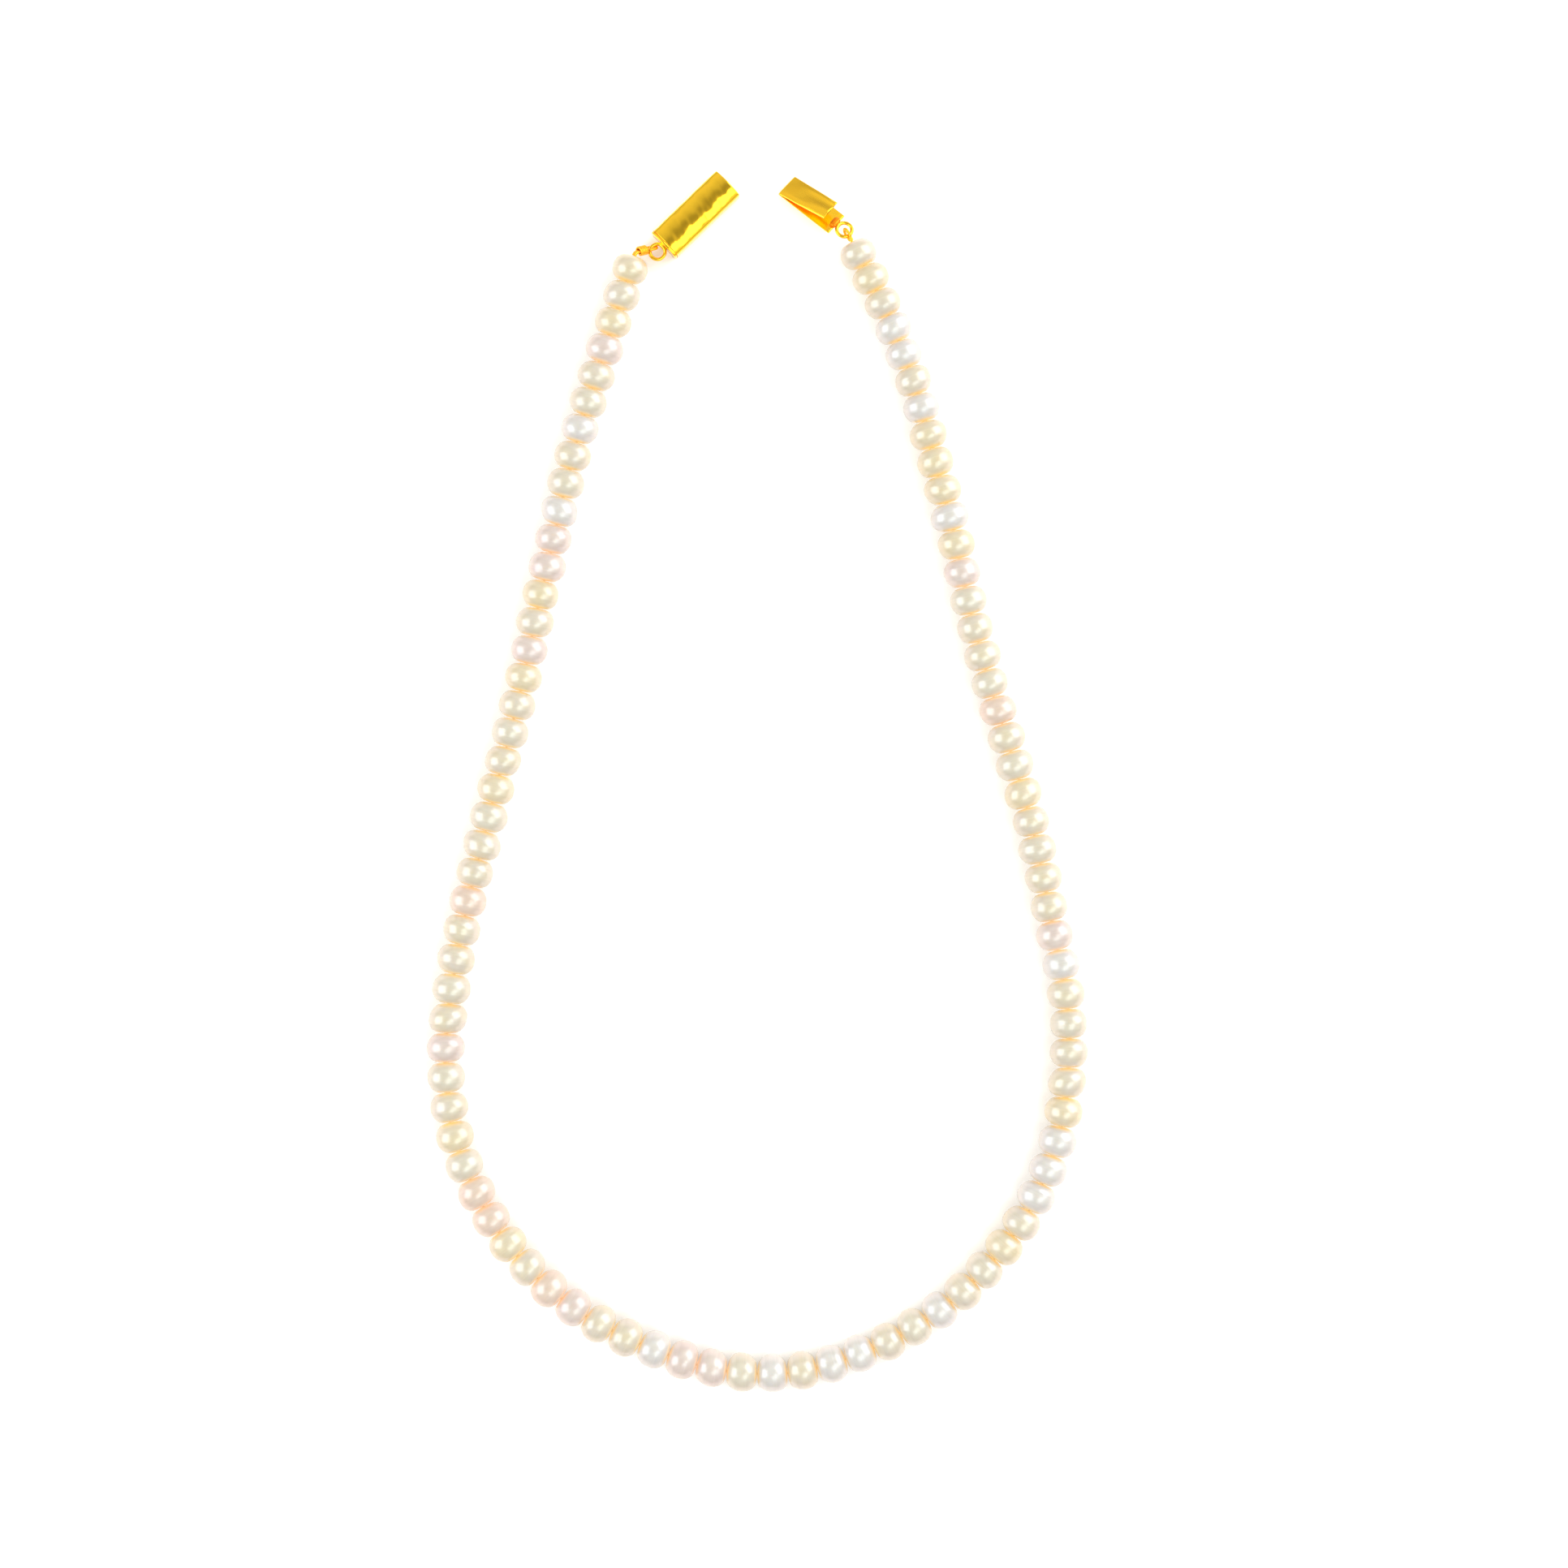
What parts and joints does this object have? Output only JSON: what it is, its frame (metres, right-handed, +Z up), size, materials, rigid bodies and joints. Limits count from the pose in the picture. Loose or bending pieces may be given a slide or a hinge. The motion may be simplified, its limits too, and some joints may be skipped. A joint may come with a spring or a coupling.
{
  "type": "pearl necklace",
  "caption": "Open strand of cream button pearls on one thread, held by gold-covered loops to a box clasp with a springy folded tongue.",
  "frame": {"origin": "on the surface that the necklace lies on, under the middle of its outline", "axes": "+Y from the front of the loop to the clasp, +X from the box half's side to the tongue half's side, +Z up from the surface"},
  "size_m": [0.1011, 0.187, 0.0059],
  "materials": {
    "pearl_cream": "polished",
    "pearl_ivory": "polished",
    "pearl_rose": "polished",
    "pearl_white": "polished",
    "silk_thread": "matte",
    "gold_gimp": "satin",
    "yellow_gold": "polished",
    "gold_solder": "satin"
  },
  "bodies": {
    "pearl_centre": {"pearl_centre": "pearl_white", "stringing_thread": "silk_thread"},
    "pearl_left_end": {"pearl_left_end": "pearl_cream"},
    "pearl_right_end": {"pearl_right_end": "pearl_cream"},
    "pearls_left_01": {"pearls_left_01": "pearl_cream"},
    "pearls_left_02": {"pearls_left_02": "pearl_rose"},
    "pearls_left_03": {"pearls_left_03": "pearl_ivory"},
    "pearls_left_04": {"pearls_left_04": "pearl_cream"},
    "pearls_left_05": {"pearls_left_05": "pearl_white"},
    "pearls_left_06": {"pearls_left_06": "pearl_rose"},
    "pearls_left_07": {"pearls_left_07": "pearl_cream"},
    "pearls_left_08": {"pearls_left_08": "pearl_cream"},
    "pearls_left_09": {"pearls_left_09": "pearl_ivory"},
    "pearls_left_10": {"pearls_left_10": "pearl_cream"},
    "pearls_left_11": {"pearls_left_11": "pearl_cream"},
    "pearls_left_12": {"pearls_left_12": "pearl_rose"},
    "pearls_left_13": {"pearls_left_13": "pearl_cream"},
    "pearls_left_14": {"pearls_left_14": "pearl_cream"},
    "pearls_left_15": {"pearls_left_15": "pearl_ivory"},
    "pearls_left_16": {"pearls_left_16": "pearl_cream"},
    "pearls_left_17": {"pearls_left_17": "pearl_rose"},
    "pearls_left_18": {"pearls_left_18": "pearl_cream"},
    "pearls_left_19": {"pearls_left_19": "pearl_rose"},
    "pearls_left_20": {"pearls_left_20": "pearl_cream"},
    "pearls_left_21": {"pearls_left_21": "pearl_white"},
    "pearls_left_22": {"pearls_left_22": "pearl_rose"},
    "pearls_right_01": {"pearls_right_01": "pearl_cream"},
    "pearls_right_02": {"pearls_right_02": "pearl_white"},
    "pearls_right_03": {"pearls_right_03": "pearl_white"},
    "pearls_right_04": {"pearls_right_04": "pearl_cream"},
    "pearls_right_05": {"pearls_right_05": "pearl_white"},
    "pearls_right_06": {"pearls_right_06": "pearl_rose"},
    "pearls_right_07": {"pearls_right_07": "pearl_cream"},
    "pearls_right_08": {"pearls_right_08": "pearl_ivory"},
    "pearls_right_09": {"pearls_right_09": "pearl_cream"},
    "pearls_right_10": {"pearls_right_10": "pearl_cream"},
    "pearls_right_11": {"pearls_right_11": "pearl_ivory"},
    "pearls_right_12": {"pearls_right_12": "pearl_cream"},
    "pearls_right_13": {"pearls_right_13": "pearl_white"},
    "pearls_right_14": {"pearls_right_14": "pearl_ivory"},
    "pearls_right_15": {"pearls_right_15": "pearl_cream"},
    "pearls_right_16": {"pearls_right_16": "pearl_white"},
    "pearls_right_17": {"pearls_right_17": "pearl_white"},
    "pearls_right_18": {"pearls_right_18": "pearl_cream"},
    "pearls_right_19": {"pearls_right_19": "pearl_cream"},
    "pearls_right_20": {"pearls_right_20": "pearl_ivory"},
    "pearls_right_21": {"pearls_right_21": "pearl_white"},
    "pearls_right_22": {"pearls_right_22": "pearl_cream"},
    "loop_left": {"gimp_left": "gold_gimp", "wrap_coil_left": "gold_gimp"},
    "housing": {"housing_barrel": "yellow_gold", "housing_end_cap": "yellow_gold", "housing_mouth_plate": "yellow_gold", "housing_ring": "yellow_gold"},
    "loop_right": {"gimp_right": "gold_gimp"},
    "tongue": {"tongue_lower_leaf": "yellow_gold", "tongue_solder_block": "gold_solder", "tongue_ring": "yellow_gold"},
    "leaf": {"tongue_upper_leaf": "yellow_gold"}
  },
  "joints": [
    {"name": "clasp_box_lift", "type": "hinge", "parent": "pearl_left_end", "child": "loop_left", "pos_m": [-0.01882, 0.08043, 0.00277], "axis": [0.342, -0.9397, 0], "range_deg": [-10, 50], "deforming": ["gimp_left"]},
    {"name": "clasp_box_swing", "type": "hinge", "parent": "loop_left", "child": "housing", "pos_m": [-0.01531, 0.08125, 0.0015], "axis": [0, 0, 1], "range_deg": [-60, 45], "deforming": ["gimp_left"]},
    {"name": "clasp_tongue_lift", "type": "hinge", "parent": "pearl_right_end", "child": "loop_right", "pos_m": [0.01452, 0.08261, 0.00283], "axis": [0.829, 0.5592, 0], "range_deg": [-10, 50], "deforming": ["gimp_right"]},
    {"name": "clasp_tongue_swing", "type": "hinge", "parent": "loop_right", "child": "tongue", "pos_m": [0.01333, 0.08445, 0.00234], "axis": [0.0824, 0.2879, 0.9541], "range_deg": [-60, 45], "deforming": ["gimp_right"]},
    {"name": "clasp_leaf_press", "type": "hinge", "parent": "tongue", "child": "leaf", "pos_m": [0.00468, 0.09141, 0.00083], "axis": [0.631, 0.7259, -0.2736], "range_deg": [0, 12], "stiffness_Nm_per_rad": 0.2},
    {"name": "strand_left_01", "type": "hinge", "parent": "pearls_left_01", "child": "pearl_left_end", "pos_m": [-0.02009, 0.07637, 0.00278], "axis": [-0.675, 0.2106, -0.7071], "range_deg": [-9, 9], "deforming": ["stringing_thread"]},
    {"name": "strand_right_01", "type": "hinge", "parent": "pearls_right_01", "child": "pearl_right_end", "pos_m": [0.0164, 0.07878, 0.00282], "axis": [0.6331, 0.315, -0.7071], "range_deg": [-9, 9], "deforming": ["stringing_thread"]},
    {"name": "strand_left_02", "type": "hinge", "parent": "pearls_left_02", "child": "pearls_left_01", "pos_m": [-0.02266, 0.06819, 0.00284], "axis": [-0.6738, 0.2146, 0.7071], "range_deg": [-9, 9], "deforming": ["stringing_thread"]},
    {"name": "strand_right_02", "type": "hinge", "parent": "pearls_right_02", "child": "pearls_right_01", "pos_m": [0.02006, 0.07116, 0.00282], "axis": [0.6486, 0.2816, 0.7071], "range_deg": [-9, 9], "deforming": ["stringing_thread"]},
    {"name": "strand_left_03", "type": "hinge", "parent": "pearls_left_03", "child": "pearls_left_02", "pos_m": [-0.02523, 0.06002, 0.00283], "axis": [0.6762, -0.2068, 0.7071], "range_deg": [-9, 9], "deforming": ["stringing_thread"]},
    {"name": "strand_right_03", "type": "hinge", "parent": "pearls_right_03", "child": "pearls_right_02", "pos_m": [0.02315, 0.06329, 0.00284], "axis": [-0.6669, -0.2352, 0.7071], "range_deg": [-9, 9], "deforming": ["stringing_thread"]},
    {"name": "strand_left_04", "type": "hinge", "parent": "pearls_left_04", "child": "pearls_left_03", "pos_m": [-0.02766, 0.05185, 0.00284], "axis": [0.6809, -0.1909, -0.7071], "range_deg": [-9, 9], "deforming": ["stringing_thread"]},
    {"name": "strand_right_04", "type": "hinge", "parent": "pearls_right_04", "child": "pearls_right_03", "pos_m": [0.02563, 0.05506, 0.00283], "axis": [-0.6843, -0.1781, -0.7071], "range_deg": [-9, 9], "deforming": ["stringing_thread"]},
    {"name": "strand_left_05", "type": "hinge", "parent": "pearls_left_05", "child": "pearls_left_04", "pos_m": [-0.02974, 0.04343, 0.00288], "axis": [-0.6906, 0.1521, -0.7071], "range_deg": [-9, 9], "deforming": ["stringing_thread"]},
    {"name": "strand_right_05", "type": "hinge", "parent": "pearls_right_05", "child": "pearls_right_04", "pos_m": [0.02782, 0.04669, 0.00283], "axis": [0.6829, 0.1834, -0.7071], "range_deg": [-9, 9], "deforming": ["stringing_thread"]},
    {"name": "strand_left_06", "type": "hinge", "parent": "pearls_left_06", "child": "pearls_left_05", "pos_m": [-0.03164, 0.03494, 0.00283], "axis": [-0.6891, 0.1585, 0.7071], "range_deg": [-9, 9], "deforming": ["stringing_thread"]},
    {"name": "strand_right_06", "type": "hinge", "parent": "pearls_right_06", "child": "pearls_right_05", "pos_m": [0.02997, 0.03836, 0.00285], "axis": [0.6881, 0.163, 0.7071], "range_deg": [-9, 9], "deforming": ["stringing_thread"]},
    {"name": "strand_left_07", "type": "hinge", "parent": "pearls_left_07", "child": "pearls_left_06", "pos_m": [-0.03354, 0.02649, 0.00286], "axis": [0.6913, -0.1489, 0.7071], "range_deg": [-9, 9], "deforming": ["stringing_thread"]},
    {"name": "strand_right_07", "type": "hinge", "parent": "pearls_right_07", "child": "pearls_right_06", "pos_m": [0.03181, 0.02976, 0.00281], "axis": [-0.6912, -0.1491, 0.7071], "range_deg": [-9, 9], "deforming": ["stringing_thread"]},
    {"name": "strand_left_08", "type": "hinge", "parent": "pearls_left_08", "child": "pearls_left_07", "pos_m": [-0.03528, 0.01799, 0.00281], "axis": [0.6921, -0.145, -0.7071], "range_deg": [-9, 9], "deforming": ["stringing_thread"]},
    {"name": "strand_right_08", "type": "hinge", "parent": "pearls_right_08", "child": "pearls_right_07", "pos_m": [0.03387, 0.02128, 0.00284], "axis": [-0.6842, -0.1785, -0.7071], "range_deg": [-9, 9], "deforming": ["stringing_thread"]},
    {"name": "strand_left_09", "type": "hinge", "parent": "pearls_left_09", "child": "pearls_left_08", "pos_m": [-0.03725, 0.00959, 0.00287], "axis": [-0.6854, 0.174, -0.7071], "range_deg": [-9, 9], "deforming": ["stringing_thread"]},
    {"name": "strand_right_09", "type": "hinge", "parent": "pearls_right_09", "child": "pearls_right_08", "pos_m": [0.03619, 0.01294, 0.00283], "axis": [0.6769, 0.2044, -0.7071], "range_deg": [-9, 9], "deforming": ["stringing_thread"]},
    {"name": "strand_left_10", "type": "hinge", "parent": "pearls_left_10", "child": "pearls_left_09", "pos_m": [-0.03944, 0.00101, 0.00282], "axis": [-0.6858, 0.1722, 0.7071], "range_deg": [-9, 9], "deforming": ["stringing_thread"]},
    {"name": "strand_right_10", "type": "hinge", "parent": "pearls_right_10", "child": "pearls_right_09", "pos_m": [0.03876, 0.00457, 0.0029], "axis": [0.6778, 0.2016, 0.7071], "range_deg": [-9, 9], "deforming": ["stringing_thread"]},
    {"name": "strand_left_11", "type": "hinge", "parent": "pearls_left_11", "child": "pearls_left_10", "pos_m": [-0.04159, -0.00761, 0.00287], "axis": [0.6865, -0.1696, 0.7071], "range_deg": [-9, 9], "deforming": ["stringing_thread"]},
    {"name": "strand_right_11", "type": "hinge", "parent": "pearls_right_11", "child": "pearls_right_10", "pos_m": [0.04127, -0.00403, 0.00286], "axis": [-0.6814, -0.1891, 0.7071], "range_deg": [-9, 9], "deforming": ["stringing_thread"]},
    {"name": "strand_left_12", "type": "hinge", "parent": "pearls_left_12", "child": "pearls_left_11", "pos_m": [-0.04371, -0.01609, 0.00285], "axis": [0.687, -0.1675, -0.7071], "range_deg": [-9, 9], "deforming": ["stringing_thread"]},
    {"name": "strand_right_12", "type": "hinge", "parent": "pearls_right_12", "child": "pearls_right_11", "pos_m": [0.04332, -0.01257, 0.00292], "axis": [-0.6932, -0.1396, -0.7071], "range_deg": [-9, 9], "deforming": ["stringing_thread"]},
    {"name": "strand_left_13", "type": "hinge", "parent": "pearls_left_13", "child": "pearls_left_12", "pos_m": [-0.04561, -0.02494, 0.00288], "axis": [-0.6947, 0.132, -0.7071], "range_deg": [-9, 9], "deforming": ["stringing_thread"]},
    {"name": "strand_right_13", "type": "hinge", "parent": "pearls_right_13", "child": "pearls_right_12", "pos_m": [0.04501, -0.02135, 0.00284], "axis": [0.6932, 0.1397, -0.7071], "range_deg": [-9, 9], "deforming": ["stringing_thread"]},
    {"name": "strand_left_14", "type": "hinge", "parent": "pearls_left_14", "child": "pearls_left_13", "pos_m": [-0.04701, -0.03398, 0.00292], "axis": [-0.7021, 0.084, 0.7071], "range_deg": [-9, 9], "deforming": ["stringing_thread"]},
    {"name": "strand_right_14", "type": "hinge", "parent": "pearls_right_14", "child": "pearls_right_13", "pos_m": [0.04688, -0.03026, 0.00286], "axis": [0.6968, 0.12, 0.7071], "range_deg": [-9, 9], "deforming": ["stringing_thread"]},
    {"name": "strand_left_15", "type": "hinge", "parent": "pearls_left_15", "child": "pearls_left_14", "pos_m": [-0.04762, -0.04294, 0.00288], "axis": [0.707, 0.0106, 0.7071], "range_deg": [-9, 9], "deforming": ["stringing_thread"]},
    {"name": "strand_right_15", "type": "hinge", "parent": "pearls_right_15", "child": "pearls_right_14", "pos_m": [0.04765, -0.03926, 0.00291], "axis": [-0.707, -0.0116, 0.7071], "range_deg": [-9, 9], "deforming": ["stringing_thread"]},
    {"name": "strand_left_16", "type": "hinge", "parent": "pearls_left_16", "child": "pearls_left_15", "pos_m": [-0.04672, -0.05207, 0.00288], "axis": [0.6932, 0.1393, -0.7071], "range_deg": [-9, 9], "deforming": ["stringing_thread"]},
    {"name": "strand_right_16", "type": "hinge", "parent": "pearls_right_16", "child": "pearls_right_15", "pos_m": [0.04717, -0.04828, 0.00291], "axis": [-0.702, 0.0847, -0.7071], "range_deg": [-9, 9], "deforming": ["stringing_thread"]},
    {"name": "strand_left_17", "type": "hinge", "parent": "pearls_left_17", "child": "pearls_left_16", "pos_m": [-0.04389, -0.06084, 0.00292], "axis": [-0.6472, -0.2847, -0.7071], "range_deg": [-9, 9], "deforming": ["stringing_thread"]},
    {"name": "strand_right_17", "type": "hinge", "parent": "pearls_right_17", "child": "pearls_right_16", "pos_m": [0.04522, -0.05725, 0.00291], "axis": [0.6715, -0.2215, -0.7071], "range_deg": [-9, 9], "deforming": ["stringing_thread"]},
    {"name": "strand_left_18", "type": "hinge", "parent": "pearls_left_18", "child": "pearls_left_17", "pos_m": [-0.03943, -0.06889, 0.00288], "axis": [-0.5836, -0.3992, 0.7071], "range_deg": [-9, 9], "deforming": ["stringing_thread"]},
    {"name": "strand_right_18", "type": "hinge", "parent": "pearls_right_18", "child": "pearls_right_17", "pos_m": [0.04155, -0.06556, 0.00291], "axis": [0.613, -0.3525, 0.7071], "range_deg": [-9, 9], "deforming": ["stringing_thread"]},
    {"name": "strand_left_19", "type": "hinge", "parent": "pearls_left_19", "child": "pearls_left_18", "pos_m": [-0.03348, -0.07593, 0.0029], "axis": [0.4905, 0.5093, 0.7071], "range_deg": [-9, 9], "deforming": ["stringing_thread"]},
    {"name": "strand_right_19", "type": "hinge", "parent": "pearls_right_19", "child": "pearls_right_18", "pos_m": [0.03624, -0.07297, 0.00295], "axis": [-0.5366, 0.4606, 0.7071], "range_deg": [-9, 9], "deforming": ["stringing_thread"]},
    {"name": "strand_left_20", "type": "hinge", "parent": "pearls_left_20", "child": "pearls_left_19", "pos_m": [-0.02614, -0.08174, 0.00289], "axis": [0.3791, 0.5969, -0.7071], "range_deg": [-9, 9], "deforming": ["stringing_thread"]},
    {"name": "strand_right_20", "type": "hinge", "parent": "pearls_right_20", "child": "pearls_right_19", "pos_m": [0.02961, -0.07948, 0.00292], "axis": [-0.4502, 0.5452, -0.7071], "range_deg": [-9, 9], "deforming": ["stringing_thread"]},
    {"name": "strand_left_21", "type": "hinge", "parent": "pearls_left_21", "child": "pearls_left_20", "pos_m": [-0.01794, -0.08595, 0.00291], "axis": [-0.2796, -0.6495, -0.7071], "range_deg": [-9, 9], "deforming": ["stringing_thread"]},
    {"name": "strand_right_21", "type": "hinge", "parent": "pearls_right_21", "child": "pearls_right_20", "pos_m": [0.02203, -0.08456, 0.00291], "axis": [0.3354, -0.6225, -0.7071], "range_deg": [-9, 9], "deforming": ["stringing_thread"]},
    {"name": "strand_left_22", "type": "hinge", "parent": "pearls_left_22", "child": "pearls_left_21", "pos_m": [-0.00924, -0.08911, 0.00291], "axis": [-0.2613, -0.9652, 0], "range_deg": [-9, 9], "deforming": ["stringing_thread"]},
    {"name": "strand_right_22", "type": "hinge", "parent": "pearls_right_22", "child": "pearls_right_21", "pos_m": [0.01353, -0.08826, 0.00289], "axis": [0.3301, -0.944, 0], "range_deg": [-9, 9], "deforming": ["stringing_thread"]},
    {"name": "strand_left_23", "type": "hinge", "parent": "pearl_centre", "child": "pearls_left_22", "pos_m": [-0.00002, -0.0905, 0.00293], "axis": [0.0407, 0.9992, 0], "range_deg": [-9, 9], "deforming": ["stringing_thread"]},
    {"name": "strand_right_23", "type": "hinge", "parent": "pearl_centre", "child": "pearls_right_22", "pos_m": [0.00464, -0.09038, 0.00291], "axis": [-0.1007, 0.9949, 0], "range_deg": [-9, 9], "deforming": ["stringing_thread"]}
  ]
}
